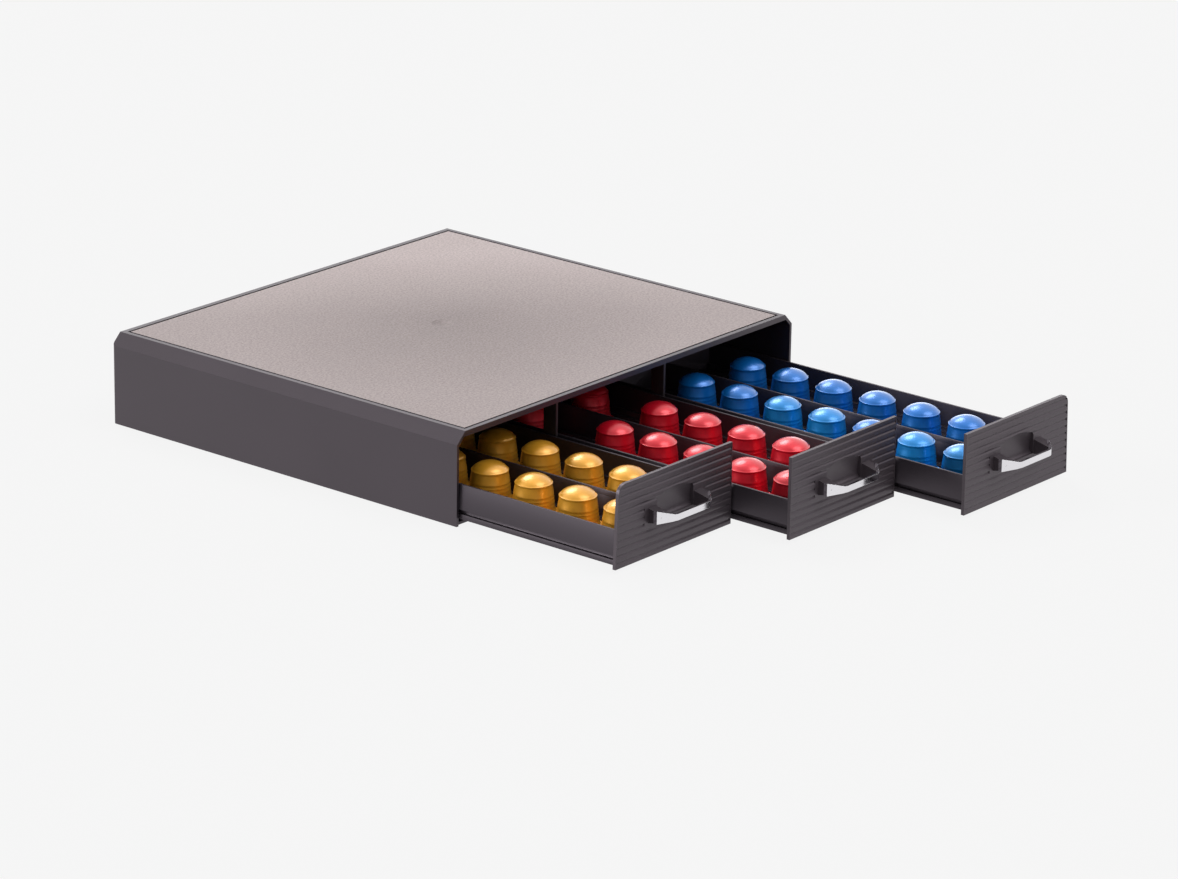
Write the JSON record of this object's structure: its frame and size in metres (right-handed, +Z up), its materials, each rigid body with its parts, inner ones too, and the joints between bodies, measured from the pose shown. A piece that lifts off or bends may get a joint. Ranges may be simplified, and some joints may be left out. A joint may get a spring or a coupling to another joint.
{
  "type": "coffee pod drawer",
  "caption": "Low rectangular box with side-by-side sliding drawers that store coffee pods upright in lanes, with chrome bow handles and a flat top that a coffee machine stands on.",
  "frame": {"origin": "on the surface that the feet stand on, in the middle of the whole object's footprint at rest, with its drawers part open", "axes": "+Z up, +Y towards the rear of the housing, so the drawers pull out along -Y; +X to the right as seen from the front"},
  "size_m": [0.36, 0.5734, 0.066],
  "materials": {
    "housing_plastic": "satin moulded plastic, dark taupe grey",
    "panel_plastic": "fine-textured matt plastic inlay, pale taupe",
    "inner_plastic": "satin dark grey plastic",
    "tray_plastic": "satin moulded plastic, dark grey",
    "front_plastic": "satin moulded plastic with ribs",
    "handle_chrome": "bright chrome plating",
    "screw_steel": "zinc plated",
    "foot_rubber": "matt black rubber",
    "gold_pods": "gold lacquered, satin",
    "red_pods": "red lacquered, satin",
    "blue_pods": "blue lacquered, satin",
    "lid_foil": "plain foil"
  },
  "bodies": {
    "housing": {"housing_shell": "housing_plastic", "top_panel": "panel_plastic", "base_plate": "inner_plastic", "divider_left": "inner_plastic", "divider_right": "inner_plastic", "base_screws": "screw_steel", "foot_front_left": "foot_rubber", "foot_front_right": "foot_rubber", "foot_rear_left": "foot_rubber", "foot_rear_right": "foot_rubber"},
    "left_drawer": {"tray_left": "tray_plastic", "front_left": "front_plastic", "handle_left": "handle_chrome", "handle_screws_left": "screw_steel", "pods_left_outer": "gold_pods", "pods_left_inner": "gold_pods", "foils_left_outer": "lid_foil", "foils_left_inner": "lid_foil"},
    "middle_drawer": {"tray_middle": "tray_plastic", "front_middle": "front_plastic", "handle_middle": "handle_chrome", "handle_screws_middle": "screw_steel", "pods_middle_left": "red_pods", "pods_middle_right": "red_pods", "foils_middle_left": "lid_foil", "foils_middle_right": "lid_foil"},
    "right_drawer": {"tray_right": "tray_plastic", "front_right": "front_plastic", "handle_right": "handle_chrome", "handle_screws_right": "screw_steel", "pods_right_inner": "blue_pods", "pods_right_outer": "blue_pods", "foils_right_inner": "lid_foil", "foils_right_outer": "lid_foil"}
  },
  "joints": [
    {"name": "left_drawer_slide", "type": "slide", "parent": "housing", "child": "left_drawer", "axis": [0, -1, 0], "range_m": [-0.1313, 0.1304]},
    {"name": "middle_drawer_slide", "type": "slide", "parent": "housing", "child": "middle_drawer", "axis": [0, -1, 0], "range_m": [-0.1799, 0.0818]},
    {"name": "right_drawer_slide", "type": "slide", "parent": "housing", "child": "right_drawer", "axis": [0, -1, 0], "range_m": [-0.237, 0.0247]}
  ]
}
